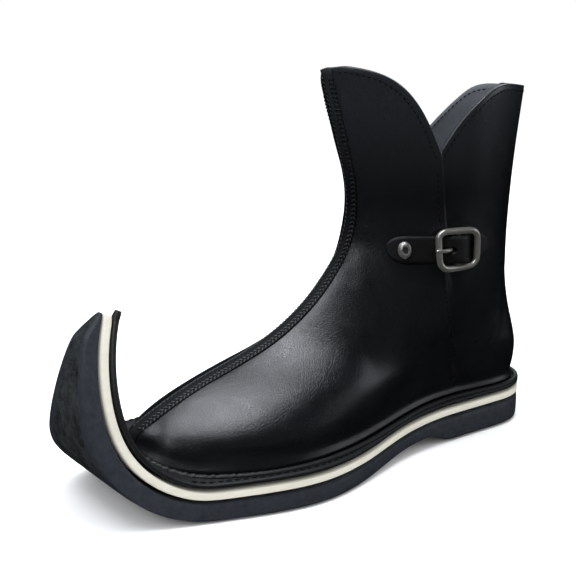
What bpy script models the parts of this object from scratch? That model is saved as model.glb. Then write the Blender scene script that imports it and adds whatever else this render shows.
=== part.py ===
"""A short black leather boot for the right foot, with a sole that curls up in front of the toe.

Lengths in the tables are millimetres. `along` runs forward from the back of the heel, `out` runs
sideways from the middle plane of the boot and `up` runs from the floor. The toe points to -X and the
inner side faces -Y.
"""
import math

import bmesh
import bpy
import numpy as np

for leftover in list(bpy.data.objects):
    bpy.data.objects.remove(leftover)

MM = 0.001
INNER = 1
OUTER = -1
GAP = 0.3

# Sole in side view
HEEL_SEAT_UP = 16.2
FOREFOOT_UP = 11.2
SEAT_SLOPE_BACK = 79.8
SEAT_SLOPE_FRONT = 159.4
CURL_START = 251.8
CURL_LENGTH = 121.0
CURL_TURN = math.radians(117)
CURL_EASE = 1.38
HEEL_BREAST = 82.0
BREAST_RUN = 7.0
ARCH_UP = 7.0
ARCH_FRONT = 172.0
CURL_THIN_FROM = 45.0
TIP_BEVEL_RUN = 15.0
TIP_FULL = 8.6
TIP_THICKNESS = 1.6
SOLE_BEVEL = 1.0

# Layers over the outsole
MIDSOLE_THICK = 5.8
WELT_THICK = 3.8
WELT_TAB_RISE = 4.0
INSOLE_THICK = 3.0

# Half widths of the sole at places along its length
OUTLINE = np.array([
    # along, inner, outer
    (0.0, 36.7, 36.7),
    (42.0, 36.7, 36.7),
    (110.0, 39.0, 43.0),
    (200.0, 58.8, 57.0),
    (250.0, 46.0, 57.0),
    (289.0, 31.0, 45.0),
    (330.0, 21.0, 15.0),
    (373.0, 2.5, 2.5),
])
HEEL_ROUND = 36.7
TIP_ROUND = 4.0

# Sections of the upper, from the line where it meets the welt up to the collar. Each one is a closed
# loop between a point of the front line and a point of the back line, with half widths at four places
# between them.
SECTIONS = np.array([
    # level, front along, front up, back along, back up, toe, ball, waist, heel
    (0.00, 275, 29, 7.5, 27, 35.0, 48.0, 30.0, 28.5),
    (0.07, 272, 41, 6.0, 34, 36.0, 49.5, 32.5, 31.5),
    (0.16, 246, 53, 6.0, 43, 26.5, 44.0, 34.0, 33.0),
    (0.26, 214, 63, 6.5, 51, 22.5, 39.0, 35.5, 33.5),
    (0.36, 187, 73, 8.5, 61, 20.5, 36.5, 36.5, 32.0),
    (0.46, 164, 87, 12.0, 73, 20.5, 36.0, 37.0, 30.0),
    (0.56, 147, 103, 15.0, 87, 21.0, 36.0, 37.5, 28.5),
    (0.66, 135, 122, 16.0, 105, 21.5, 36.0, 37.5, 27.0),
    (0.76, 131, 143, 16.0, 128, 22.0, 36.0, 37.0, 26.5),
    (0.88, 139.5, 180, 14.0, 166, 24.0, 39.0, 40.5, 28.0),
    (1.00, 153.0, 220.5, 10.5, 206, 26.5, 43.5, 45.5, 31.0),
])
STATIONS = np.array([0.12, 0.32, 0.62, 0.88])
OUTER_FULLNESS = 4.0
FULLNESS_TOP = 0.4
SETTLE_TOP = 0.2
WALL = 2.2

# Line where the front panel laps over the back panel, as a share of each section
LAP_LINE = np.array([
    # level, share from front to back
    (0.00, 0.780),
    (0.16, 0.712),
    (0.36, 0.593),
    (0.66, 0.365),
    (0.86, 0.310),
    (1.00, 0.290),
])
LAP_STEP = 1.4
LAP_FADE = 30.0
LAP_CLIMB = 6.0
COLLAR_LENGTH = 138.0
FRONT_DIP = 0.006
FRONT_DIP_RUN = 0.03

# Notch in the collar on each side: the inner one is closed below its foot, the outer one gapes down to
# the strap
NOTCH = {
    # foot level, run to the front flap, its curve, run to the back flap, its curve
    INNER: (0.874, 76.0, 7.2, 56.0, 1.8),
    OUTER: (0.71, 56.0, 2.0, 92.0, 0.85),
}

FRONT_COLUMNS = 15
BACK_COLUMNS = 12
BACK_CROWDING = 1.35
ROWS = 24

# Strips over the seams
FRONT_STRIP_HALF = 4.6
BACK_STRIP_HALF = 5.5
STRIP_RISE = 1.4

# Strap, buckle and rivet on each side, measured from the buckle's bar
BUCKLE_ALONG = {INNER: 87.5, OUTER: 70.0}
STRAP_UP = 119.5
STRAP_HALF = 8.1
STRAP_THICK = 2.4
STRAP_AHEAD = 34.5
STRAP_TAIL = 24.0
TAIL_TAPER = 9.0
RIVET_AHEAD = 26.8
RIVET_HALF_LENGTH = 4.3
RIVET_HALF_HEIGHT = 5.6
BUCKLE_HALF_LENGTH = 11.4
BUCKLE_HALF_HEIGHT = 10.7
BUCKLE_CORNER = 4.5
WIRE_RADIUS = 1.8
BAR_RADIUS = 1.5
FRAME_LIFT = 6.7
FRAME_DIP = 1.4
BAR_LIFT = 3.8
SLOT_AHEAD = 5.6
SLOT_HALF_LENGTH = 3.6
SLOT_HALF_HEIGHT = 1.7
TAB_THICK = 1.6
TAB_HALF = 7.0
TAB_AHEAD = 2.5
TAB_BEHIND = 19.0


def through(table, column, x):
    """Smooth curve through one column of a table, against its first column."""
    xs = table[:, 0]
    ys = table[:, column]
    slope = np.gradient(ys, xs)
    x = np.clip(x, xs[0], xs[-1])
    i = np.clip(np.searchsorted(xs, x, side="right") - 1, 0, len(xs) - 2)
    run = xs[i + 1] - xs[i]
    t = (x - xs[i]) / run
    rise = ys[i + 1] - ys[i]
    bend = slope[i] * run * (t - 2 * t**2 + t**3) + slope[i + 1] * run * (t**3 - t**2)
    return ys[i] + rise * (3 * t**2 - 2 * t**3) + bend


def ease(t):
    """Smooth step from 0 to 1."""
    t = np.clip(t, 0.0, 1.0)
    return t * t * (3 - 2 * t)


def sole_curve():
    """Top line of the outsole in side view: distance along it, along, up and slope angle."""
    flat = np.linspace(0.0, CURL_START, 400)
    seat = ease((SEAT_SLOPE_FRONT - flat) / (SEAT_SLOPE_FRONT - SEAT_SLOPE_BACK))
    flat_up = FOREFOOT_UP + (HEEL_SEAT_UP - FOREFOOT_UP) * seat
    part = np.linspace(0.0, 1.0, 400)[1:]
    turn = CURL_TURN * (1 - (1 - part) ** CURL_EASE)
    step = CURL_LENGTH / 399
    curl_along = CURL_START + np.cumsum(np.cos(turn)) * step
    curl_up = FOREFOOT_UP + np.cumsum(np.sin(turn)) * step
    along = np.concatenate([flat, curl_along])
    up = np.concatenate([flat_up, curl_up])
    s = np.concatenate([[0.0], np.cumsum(np.hypot(np.diff(along), np.diff(up)))])
    angle = np.arctan2(np.gradient(up, s), np.gradient(along, s))
    return s, along, up, angle


SOLE_S, SOLE_ALONG, SOLE_UP, SOLE_ANGLE = sole_curve()
SOLE_END = SOLE_S[-1]


def sole_line(s, lift):
    """A point of the sole's top line, raised square to it by `lift`."""
    angle = np.interp(s, SOLE_S, SOLE_ANGLE)
    beyond = max(s - SOLE_END, 0.0)
    along = np.interp(s, SOLE_S, SOLE_ALONG) + beyond * math.cos(angle) - lift * math.sin(angle)
    up = np.interp(s, SOLE_S, SOLE_UP) + beyond * math.sin(angle) + lift * math.cos(angle)
    return along, up


def half_width(s, side, end):
    """Half width of the sole's outline, with a round heel and a round tip."""
    column = 1 if side == INNER else 2
    width = through(OUTLINE, column, s)
    heel = np.clip(1 - s / HEEL_ROUND, 0, 1)
    tip = np.clip(1 - (end - s) / TIP_ROUND, 0, 1)
    return width * math.sqrt(1 - heel**2.3) * math.sqrt(1 - 0.75 * tip**2)


def outsole_bottom(s):
    """Underside of the outsole: flat heel, raised arch, flat forefoot, then the outer face of the curl."""
    along, up = sole_line(s, 0.0)
    if along < CURL_START:
        breast = ease((along - HEEL_BREAST) / BREAST_RUN)
        fall = ease((ARCH_FRONT - along) / (ARCH_FRONT - HEEL_BREAST - BREAST_RUN))
        return along, ARCH_UP * breast * fall
    left = SOLE_END - s
    thin = ease((s - CURL_START - CURL_THIN_FROM) / (CURL_LENGTH - CURL_THIN_FROM))
    thick = FOREFOOT_UP + (TIP_FULL - FOREFOOT_UP) * thin
    if left < TIP_BEVEL_RUN:
        thick = TIP_THICKNESS + (thick - TIP_THICKNESS) * left / TIP_BEVEL_RUN
    return sole_line(s, -thick)


def new_object(name, points, faces, material):
    """A mesh object from points in (along, out, up) millimetres."""
    mesh = bpy.data.meshes.new(name)
    mesh.from_pydata([place(p) for p in points], [], faces)
    mesh.update()
    shape = bmesh.new()
    shape.from_mesh(mesh)
    bmesh.ops.recalc_face_normals(shape, faces=shape.faces)
    shape.to_mesh(mesh)
    shape.free()
    result = bpy.data.objects.new(name, mesh)
    bpy.context.scene.collection.objects.link(result)
    result.data.materials.append(material)
    return result


def place(point):
    """From (along, out, up) in millimetres to the boot's own axes in metres."""
    along, out, up = point
    return (-along * MM, -out * MM, up * MM)


def material(name, colour, roughness, metallic=0.0):
    """A plain surface."""
    result = bpy.data.materials.new(name)
    result.use_nodes = True
    surface = result.node_tree.nodes["Principled BSDF"]
    surface.inputs["Base Color"].default_value = (*colour, 1.0)
    surface.inputs["Roughness"].default_value = roughness
    surface.inputs["Metallic"].default_value = metallic
    return result


def loft(rings):
    """Points and faces of a closed tube through rings of equal length, with flat ends."""
    points = [p for ring in rings for p in ring]
    n = len(rings[0])
    faces = []
    for i in range(len(rings) - 1):
        for j in range(n):
            k = (j + 1) % n
            faces.append((i * n + j, i * n + k, (i + 1) * n + k, (i + 1) * n + j))
    faces.append(tuple(range(n)))
    last = (len(rings) - 1) * n
    faces.append(tuple(last + j for j in range(n)))
    return points, faces


def sole_stations(end):
    """Places along the sole: close together on the round heel, on the curl and at the tip."""
    heel = HEEL_ROUND * (1 - np.cos(np.linspace(0.12, math.pi / 2, 9)))
    middle = np.linspace(heel[-1], CURL_START, 20)[1:]
    curl = np.linspace(CURL_START, end - TIP_BEVEL_RUN, 15)[1:]
    tip = end - TIP_BEVEL_RUN * (1 - np.sin(np.linspace(0.0, math.pi / 2, 7)[1:]))
    return np.concatenate([heel, middle, curl, tip])


def sole_layer(name, low, high, end, surface):
    """One layer of the sole: a beveled slab between two lines in side view, as wide as the outline."""
    rings = []
    for s in sole_stations(end):
        inner = half_width(s, INNER, end)
        outer = -half_width(s, OUTER, end)
        angle = np.interp(s, SOLE_S, SOLE_ANGLE)
        foot = np.array(low(s))
        head = np.array(high(s))
        thick = float(np.linalg.norm(head - foot))
        bevel = min(SOLE_BEVEL, 0.3 * thick, 0.3 * (inner - outer))
        rise = np.array((-math.sin(angle), math.cos(angle))) * bevel
        corners = (
            (foot, outer + bevel), (foot, inner - bevel), (foot + rise, inner), (head - rise, inner),
            (head, inner - bevel), (head, outer + bevel), (head - rise, outer), (foot + rise, outer),
        )
        rings.append([(p[0], out, p[1]) for p, out in corners])
    points, faces = loft(rings)
    return new_object(name, points, faces, surface)


RUBBER = material("black rubber", (0.03, 0.033, 0.04), 0.6)
CREAM = material("cream rubber", (0.75, 0.72, 0.62), 0.6)
LEATHER = material("black leather", (0.012, 0.013, 0.015), 0.4)
LINING = material("insole leather", (0.25, 0.17, 0.1), 0.7)
NICKEL = material("polished nickel", (0.75, 0.75, 0.73), 0.2, 1.0)

MIDSOLE_LOW = GAP
MIDSOLE_HIGH = MIDSOLE_LOW + MIDSOLE_THICK
WELT_LOW = MIDSOLE_HIGH + GAP
WELT_HIGH = WELT_LOW + WELT_THICK
WELT_END = SOLE_END + WELT_TAB_RISE


def raised(lift):
    """The sole's top line raised by a fixed distance, as a function of the place along it."""
    return lambda s: sole_line(s, lift)


sole_layer("outsole", outsole_bottom, raised(0.0), SOLE_END, RUBBER)
sole_layer("midsole", raised(MIDSOLE_LOW), raised(MIDSOLE_HIGH), SOLE_END, CREAM)
sole_layer("welt", raised(WELT_LOW), raised(WELT_HIGH), WELT_END, LEATHER)


# Upper
def sections_at(level):
    """Front line, back line and the four half widths at a level of the upper."""
    return [through(SECTIONS, column, level) for column in range(1, 9)]


TURN_COS = 1 - 2 * STATIONS
TURN_SIN = 2 * np.sqrt(STATIONS * (1 - STATIONS))
WIDTHS_TO_SHAPE = np.linalg.inv(TURN_SIN[:, None] * TURN_COS[:, None] ** np.arange(4))

BED_S = np.linspace(0.0, CURL_START + 60.0, 300)
BED_LINE = np.array([sole_line(s, WELT_HIGH + GAP) for s in BED_S])


def bed(along):
    """Height of the welt's upper face, where the upper and the insole stand."""
    return np.interp(along, BED_LINE[:, 0], BED_LINE[:, 1])


def upper_half(level, turn, side):
    """Half width of a section at a turn round it: 0 at the front line, pi at the back line."""
    widths = sections_at(level)[4:]
    fuller = OUTER_FULLNESS * (1 - ease(level / FULLNESS_TOP)) * (side == OUTER)
    widths[2] = widths[2] + fuller
    shape = np.tensordot(WIDTHS_TO_SHAPE, np.array(np.broadcast_arrays(*widths)), axes=1)
    total = sum(shape[k] * np.cos(turn) ** k for k in range(4))
    return np.sin(turn) * total


def upper_point(level, turn, side):
    """A point of the upper's outer face."""
    front_along, front_up, back_along, back_up = sections_at(level)[:4]
    share = (1 - np.cos(turn)) / 2
    along = front_along + (back_along - front_along) * share
    foot = SECTIONS[0]
    foot_chord = np.interp(along, (foot[3], foot[1]), (foot[4], foot[2]))
    settle = 1 - ease(level / SETTLE_TOP)
    up = front_up + (back_up - front_up) * share + settle * (bed(along) - foot_chord)
    out = side * upper_half(level, turn, side)
    return np.stack(np.broadcast_arrays(along, out, up), axis=-1)


def upper_normal(level, turn, side):
    """Outward direction of the upper's face."""
    step = 1e-3
    rise = upper_point(level + step, turn, side) - upper_point(np.maximum(level - step, 0), turn, side)
    round_it = upper_point(level, turn + step, side) - upper_point(level, turn - step, side)
    normal = -np.cross(rise, round_it) * np.asarray(side)[..., None]
    return normal / np.linalg.norm(normal, axis=-1, keepdims=True)


def lap_turn(level):
    """Turn at which the front panel's back edge lies."""
    return np.arccos(1 - 2 * through(LAP_LINE, 1, level))


def lap_lift(level, turn):
    """How far the front panel stands off the back panel's face near its edge."""
    front_along, _, back_along = sections_at(level)[:3]
    ahead = (np.cos(turn) - np.cos(lap_turn(level))) / 2 * (front_along - back_along)
    fade = np.clip(1 - ahead / LAP_FADE, 0, 1)
    return LAP_STEP * fade * (ahead > -0.1) * ease(level / 0.15)


def collar_level(turn, side):
    """Top edge of the upper: high flaps in front and behind, with a notch at each side."""
    share = (1 - np.cos(turn)) / 2
    offset = (share - through(LAP_LINE, 1, 0.95)) * COLLAR_LENGTH
    foot, front_run, front_curve, back_run, back_curve = NOTCH[side]
    run, curve = (front_run, front_curve) if offset < 0 else (back_run, back_curve)
    rise = 1 - (1 - min(abs(offset) / run, 1.0)) ** curve
    dip = FRONT_DIP * max(1 - share / FRONT_DIP_RUN, 0.0)
    return foot + (1 - foot) * rise - dip


def upper_columns():
    """Columns round the upper: side, panel and share of the panel."""
    one_side = [("front", j / FRONT_COLUMNS) for j in range(FRONT_COLUMNS + 1)]
    one_side += [("back", (j / BACK_COLUMNS) ** BACK_CROWDING) for j in range(BACK_COLUMNS + 1)]
    columns = [(INNER, panel, share) for panel, share in one_side]
    columns += [(OUTER, panel, share) for panel, share in reversed(one_side[1:-1])]
    return columns


def column_turn(panel, share, level):
    """Turn of a column at a level."""
    edge = lap_turn(level)
    if panel == "front":
        return edge * share
    edge = edge + 0.012
    return edge + (math.pi - edge) * share


def build_upper():
    """The hollow upper: an outer face, an inner face one wall thickness inside it, and the two rims."""
    outside = []
    inside = []
    rows = np.linspace(0.0, 1.0, ROWS + 1)
    for side, panel, share in upper_columns():
        top = collar_level(column_turn(panel, share, 0.95), side)
        level = rows + (top - 1) * rows**3
        turn = column_turn(panel, share, level)
        point = upper_point(level, turn, side)
        normal = upper_normal(level, turn, np.full(level.shape, side))
        lift = lap_lift(level, turn) if panel == "front" else np.zeros(level.shape)
        outside.append(point + normal * lift[:, None])
        within = point - normal * WALL
        within[0, 2] = point[0, 2]
        inside.append(within)
    columns = len(outside)
    points = [p for column in outside + inside for p in column]
    n = ROWS + 1
    faces = []
    for j in range(columns):
        k = (j + 1) % columns
        for i in range(ROWS):
            faces.append((j * n + i, k * n + i, k * n + i + 1, j * n + i + 1))
            a = (columns + j) * n + i
            b = (columns + k) * n + i
            faces.append((a, a + 1, b + 1, b))
        for i in (0, ROWS):
            faces.append((j * n + i, (columns + j) * n + i, (columns + k) * n + i, k * n + i))
    return new_object("upper", points, faces, LEATHER)


build_upper()


def build_insole():
    """The insole: a flat board inside the upper's lower edge, bent up a little at the toe."""
    inset = WALL + 1.6
    middle = (SECTIONS[0, 1] + SECTIONS[0, 3]) / 2
    shrink = 1 - inset / (SECTIONS[0, 1] - middle)
    rings = []
    for turn in np.linspace(0.16, math.pi - 0.16, 34):
        along = middle + (upper_point(0.0, turn, INNER)[0] - middle) * shrink
        inner = upper_half(0.0, turn, INNER) - inset
        outer = -upper_half(0.0, turn, OUTER) + inset
        low = bed(along)
        high = low + INSOLE_THICK
        rings.append([(along, inner, low), (along, inner, high), (along, outer, high), (along, outer, low)])
    points, faces = loft(rings)
    return new_object("insole", points, faces, LINING)


build_insole()


def turn_at(level, out, side, from_back):
    """Turn at which a section is `out` away from the middle plane, next to the front or the back line."""
    turn = 0.1
    for _ in range(12):
        reach = upper_half(level, math.pi - turn if from_back else turn, side)
        turn = min(turn * out / reach, 1.2)
    return math.pi - turn if from_back else turn


def build_strip(name, half, from_back, top):
    """A leather strip sewn over a seam in the middle plane, thicker in its middle."""
    rings = []
    rows = np.linspace(0.0, 1.0, ROWS + 1)
    levels = rows + (top - 1) * rows**3
    levels[0] = 0.3 * levels[1]
    for level in levels:
        under = []
        over = []
        for share in (-1.0, -0.5, 0.0, 0.5, 1.0):
            side = INNER if share >= 0 else OUTER
            turn = turn_at(level, max(abs(share) * half, 1e-3), side, from_back)
            point = upper_point(level, turn, side)
            normal = upper_normal(level, turn, side)
            under.append(point + normal * GAP)
            over.append(point + normal * (GAP + STRIP_RISE * (1 - 0.45 * share**2)))
        rings.append(under + over[::-1])
    points, faces = loft(rings)
    return new_object(name, points, faces, LEATHER)


build_strip("front_strip", FRONT_STRIP_HALF, False, collar_level(0.0, INNER))
build_strip("back_strip", BACK_STRIP_HALF, True, collar_level(math.pi, OUTER))


# Fastening on each side
def on_side(side, along, up, lift):
    """Points over the upper's side, `lift` away from its face, and the outward directions there."""
    along, up, lift = np.broadcast_arrays(*(np.asarray(a, float) for a in (along, up, lift)))
    level = np.full(along.shape, 0.66)
    turn = np.full(along.shape, 1.5)
    step = 1e-4
    for _ in range(14):
        here = upper_point(level, turn, side)
        by_level = (upper_point(level + step, turn, side) - here) / step
        by_turn = (upper_point(level, turn + step, side) - here) / step
        missing_along = along - here[..., 0]
        missing_up = up - here[..., 2]
        area = by_level[..., 0] * by_turn[..., 2] - by_turn[..., 0] * by_level[..., 2]
        level_change = (missing_along * by_turn[..., 2] - missing_up * by_turn[..., 0]) / area
        turn_change = (missing_up * by_level[..., 0] - missing_along * by_level[..., 2]) / area
        level = level + np.clip(level_change, -0.1, 0.1)
        turn = turn + np.clip(turn_change, -0.3, 0.3)
    normal = upper_normal(level, turn, np.full(along.shape, side))
    return upper_point(level, turn, side) + normal * lift[..., None], normal


LAP_LEVELS = np.linspace(0.5, 0.8, 61)
LAP_SPOTS = upper_point(LAP_LEVELS, lap_turn(LAP_LEVELS), INNER)
LAP_AT_STRAP = float(np.interp(STRAP_UP, LAP_SPOTS[:, 2], LAP_SPOTS[:, 0]))

# How far the strap stands off the upper as it goes over the tab, over the buckle's bar and under its frame
WEAVE = np.array([
    # ahead of the bar, lift
    (-24.0, 2.25),
    (-9.2, 2.25),
    (-3.6, 5.6),
    (0.0, 5.85),
    (3.6, 5.6),
    (9.4, 1.9),
    (20.0, 0.4),
])


def strap_lift(side, ahead):
    """Distance of the strap's back from the upper's face, which it leaves to climb the front panel's edge."""
    past_lap = BUCKLE_ALONG[side] + ahead - LAP_AT_STRAP
    on_panel = np.where(past_lap > 0, 1 - past_lap / LAP_FADE, 1 + past_lap / LAP_CLIMB)
    panel = LAP_STEP * np.clip(on_panel, 0, 1)
    return np.maximum(np.interp(ahead, WEAVE[:, 0], WEAVE[:, 1]), panel + GAP + 0.1)


def build_strap(side, word):
    """The strap: a leather band with a round front end and a tapered tail."""
    front = STRAP_AHEAD
    round_end = front - STRAP_HALF * (1 - np.cos(np.linspace(0.35, math.pi / 2, 5)))
    body = np.linspace(front - STRAP_HALF, -STRAP_TAIL + TAIL_TAPER, 24)[1:]
    tail = np.linspace(-STRAP_TAIL + TAIL_TAPER, -STRAP_TAIL, 4)[1:]
    ahead = np.concatenate([round_end, body, tail])[:, None]
    blunt = np.sqrt(1 - np.clip(1 - (front - ahead) / STRAP_HALF, 0.0, 1.0) ** 2)
    taper = 1 - 0.55 * np.clip(1 - (ahead + STRAP_TAIL) / TAIL_TAPER, 0.0, 1.0) ** 1.5
    half = STRAP_HALF * blunt * taper
    along = BUCKLE_ALONG[side] + ahead
    lift = strap_lift(side, ahead)
    under = on_side(side, along, STRAP_UP + half * np.array((-1.0, 0.0, 1.0)), lift)[0]
    over = on_side(side, along, STRAP_UP + half * np.array((0.95, 0.0, -0.95)), lift + STRAP_THICK)[0]
    points, faces = loft(np.concatenate([under, over], axis=1))
    return new_object("strap_" + word, points, faces, LEATHER)


def tube(path, normals, radii, sides, closed):
    """Points and faces of a round bar along a path."""
    rings = []
    count = len(path)
    for i in range(count):
        before = path[(i - 1) % count] if closed else path[max(i - 1, 0)]
        after = path[(i + 1) % count] if closed else path[min(i + 1, count - 1)]
        forward = (after - before) / np.linalg.norm(after - before)
        across = np.cross(forward, normals[i])
        across /= np.linalg.norm(across)
        rise = np.cross(across, forward)
        angles = np.arange(sides) / sides * 2 * math.pi
        rings.append([path[i] + radii[i] * (math.cos(a) * rise + math.sin(a) * across) for a in angles])
    points, faces = loft(rings)
    if closed:
        faces = faces[:-2]
        last = (count - 1) * sides
        faces += [(last + j, last + (j + 1) % sides, (j + 1) % sides, j) for j in range(sides)]
    return points, faces


def frame_path():
    """Round-cornered rectangle of the buckle's frame, with a point where each end of the bar meets it."""
    path = []
    for quarter in range(4):
        side_x = (1, -1, -1, 1)[quarter] * (BUCKLE_HALF_LENGTH - BUCKLE_CORNER)
        side_y = (1, 1, -1, -1)[quarter] * (BUCKLE_HALF_HEIGHT - BUCKLE_CORNER)
        for part in range(5):
            angle = (quarter + part / 4) * math.pi / 2
            bend_x = BUCKLE_CORNER * math.cos(angle)
            bend_y = BUCKLE_CORNER * math.sin(angle)
            path.append((side_x + bend_x, side_y + bend_y))
        if quarter in (0, 2):
            path.append((0.0, path[-1][1]))
    return np.array(path)


def hide_tool(item):
    """Keeps an object that only shapes another one out of the boot."""
    item.hide_render = True
    item.display_type = "WIRE"


def join_or_cut(target, name, tool, operation):
    """Adds one solid to another, or takes it away."""
    hide_tool(tool)
    step = target.modifiers.new(name, "BOOLEAN")
    step.operation = operation
    step.solver = "EXACT"
    step.object = tool


def build_buckle(side, word):
    """The buckle: a bowed frame of round wire with a bar across its middle."""
    path = frame_path()
    lift = FRAME_LIFT - FRAME_DIP * (1 - np.abs(path[:, 0]) / BUCKLE_HALF_LENGTH)
    spots, normals = on_side(side, BUCKLE_ALONG[side] + path[:, 0], STRAP_UP + path[:, 1], lift)
    points, faces = tube(spots, normals, [WIRE_RADIUS] * len(path), 8, True)
    frame = new_object("buckle_frame_" + word, points, faces, NICKEL)
    share = np.linspace(-1.0, 1.0, 9)
    rise = np.clip(np.abs(share) - 0.75, 0.0, 1.0) / 0.25
    lift = BAR_LIFT + (FRAME_LIFT - FRAME_DIP - BAR_LIFT) * rise
    spots, normals = on_side(side, BUCKLE_ALONG[side], STRAP_UP + share * BUCKLE_HALF_HEIGHT, lift)
    points, faces = tube(spots, normals, [BAR_RADIUS] * len(share), 8, False)
    bar = new_object("buckle_bar_" + word, points, faces, NICKEL)
    join_or_cut(frame, "bar", bar, "UNION")


# Prong from beside the bar, up through the strap and over the frame's front
PRONG_PATH = np.array([
    # ahead of the bar, lift, radius
    (3.1, 3.9, 1.2),
    (4.0, 5.2, 1.2),
    (5.8, 7.3, 1.2),
    (8.0, 9.1, 1.2),
    (11.4, 10.1, 1.1),
    (13.8, 9.9, 0.8),
])


def build_prong(side, word):
    """The prong: a tapered pin."""
    spots, normals = on_side(side, BUCKLE_ALONG[side] + PRONG_PATH[:, 0], STRAP_UP, PRONG_PATH[:, 1])
    points, faces = tube(spots, normals, PRONG_PATH[:, 2], 8, False)
    new_object("buckle_prong_" + word, points, faces, NICKEL)


def cut_prong_slot(strap, side, word):
    """The slot in the strap that the prong comes up through."""
    angle = np.arange(12) / 12 * 2 * math.pi
    along = BUCKLE_ALONG[side] + SLOT_AHEAD + SLOT_HALF_LENGTH * np.cos(angle)
    up = STRAP_UP + SLOT_HALF_HEIGHT * np.sin(angle)
    points, faces = loft([on_side(side, along, up, lift)[0] for lift in (-2.0, 14.0)])
    slot = new_object("prong_slot_" + word, points, faces, LEATHER)
    join_or_cut(strap, "prong slot", slot, "DIFFERENCE")


def build_tab(side, word):
    """The leather tab on the back panel that the buckle's bar lies on."""
    along = BUCKLE_ALONG[side] + np.linspace(TAB_AHEAD, -TAB_BEHIND, 9)[:, None]
    up = STRAP_UP + TAB_HALF * np.array((-1.0, 0.0, 1.0))
    under = on_side(side, along, up, GAP + 0.05)[0]
    over = on_side(side, along, up[::-1], GAP + 0.05 + TAB_THICK)[0]
    points, faces = loft(np.concatenate([under, over], axis=1))
    new_object("buckle_tab_" + word, points, faces, LEATHER)


# Outline of the rivet's head, from its rim to its crown
RIVET_PROFILE = (
    # share of the half sizes, height
    (0.90, 0.0),
    (1.00, 0.25),
    (1.00, 0.8),
    (0.84, 1.65),
    (0.55, 2.3),
    (0.20, 2.6),
)


def build_rivet(side, word):
    """The rivet's oval, domed head on the strap's front end."""
    base = strap_lift(side, RIVET_AHEAD) + STRAP_THICK + GAP + 0.15
    centre, normal = on_side(side, BUCKLE_ALONG[side] + RIVET_AHEAD, STRAP_UP, base)
    across = np.cross(normal, (0.0, 0.0, 1.0))
    across /= np.linalg.norm(across)
    rise = np.cross(across, normal)
    angle = (np.arange(16) / 16 * 2 * math.pi)[:, None]
    spokes = RIVET_HALF_LENGTH * np.cos(angle) * across + RIVET_HALF_HEIGHT * np.sin(angle) * rise
    rings = [centre + share * spokes + normal * height for share, height in RIVET_PROFILE]
    points, faces = loft(rings)
    new_object("rivet_" + word, points, faces, NICKEL)


for side, word in ((INNER, "inner"), (OUTER, "outer")):
    strap = build_strap(side, word)
    cut_prong_slot(strap, side, word)
    build_tab(side, word)
    build_buckle(side, word)
    build_prong(side, word)
    build_rivet(side, word)


# Stand the boot with the middle of its length and width at the origin
solids = [item for item in bpy.data.objects if not item.hide_render]
corners = np.array([v.co for item in solids for v in item.data.vertices])
middle = (corners.min(axis=0) + corners.max(axis=0)) / 2
for item in bpy.data.objects:
    for v in item.data.vertices:
        v.co.x -= middle[0]
        v.co.y -= middle[1]
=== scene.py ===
"""A short black leather boot with a curled toe: leather, rubber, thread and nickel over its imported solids.

Sizes are millimetres of the boot: `along` forward from the back of the heel, `out` from the middle plane to
the inner side, `up` from the floor. The toe points to -X and the inner side faces -Y.
"""
import math

import bmesh
import bpy
from mathutils import Matrix, Vector
from mathutils.bvhtree import BVHTree


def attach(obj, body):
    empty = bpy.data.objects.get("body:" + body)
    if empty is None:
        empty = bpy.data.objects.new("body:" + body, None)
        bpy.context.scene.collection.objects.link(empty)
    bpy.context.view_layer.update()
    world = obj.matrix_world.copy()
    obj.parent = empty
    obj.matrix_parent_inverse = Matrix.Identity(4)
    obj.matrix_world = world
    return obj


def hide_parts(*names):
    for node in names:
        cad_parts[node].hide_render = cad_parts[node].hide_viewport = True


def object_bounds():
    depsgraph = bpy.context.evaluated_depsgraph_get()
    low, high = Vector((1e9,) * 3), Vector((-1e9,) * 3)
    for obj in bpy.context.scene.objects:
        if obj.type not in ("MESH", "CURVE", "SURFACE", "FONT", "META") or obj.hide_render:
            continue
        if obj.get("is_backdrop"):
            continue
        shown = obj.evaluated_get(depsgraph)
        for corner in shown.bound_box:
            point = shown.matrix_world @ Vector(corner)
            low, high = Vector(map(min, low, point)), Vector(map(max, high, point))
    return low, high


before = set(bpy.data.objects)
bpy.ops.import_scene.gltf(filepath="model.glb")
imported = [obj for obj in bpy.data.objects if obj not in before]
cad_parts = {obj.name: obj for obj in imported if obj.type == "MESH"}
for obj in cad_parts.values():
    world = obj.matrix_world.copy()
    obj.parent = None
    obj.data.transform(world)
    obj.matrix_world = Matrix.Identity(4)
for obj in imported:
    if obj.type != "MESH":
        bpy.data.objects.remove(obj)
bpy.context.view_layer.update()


# Outsole
# The layer that is walked on: a slab of black moulded rubber with a low heel and a raised arch, bent up and
# back in front of the toe. Its side is smooth and its underside, which shows on the curl, is pebbled.
MM = 0.001
RUBBER_CLOUD = 3.2
RUBBER_GRIT = 1.1
PEBBLE = 2.1
TREAD_CLOUD = 6.0
SIDE_TURN = 0.4
HEEL_WALL_TURN = 0.5
HEEL_WALL_X = 115.0


def copy_of(node):
    """A merged copy of a solid, with its triangles joined to quads."""
    shape = bmesh.new()
    shape.from_mesh(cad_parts[node].data)
    bmesh.ops.remove_doubles(shape, verts=shape.verts, dist=1e-6)
    bmesh.ops.join_triangles(
        shape, faces=shape.faces,
        angle_face_threshold=0.9, angle_shape_threshold=2.2, topology_influence=1.2,
    )
    return shape


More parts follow.
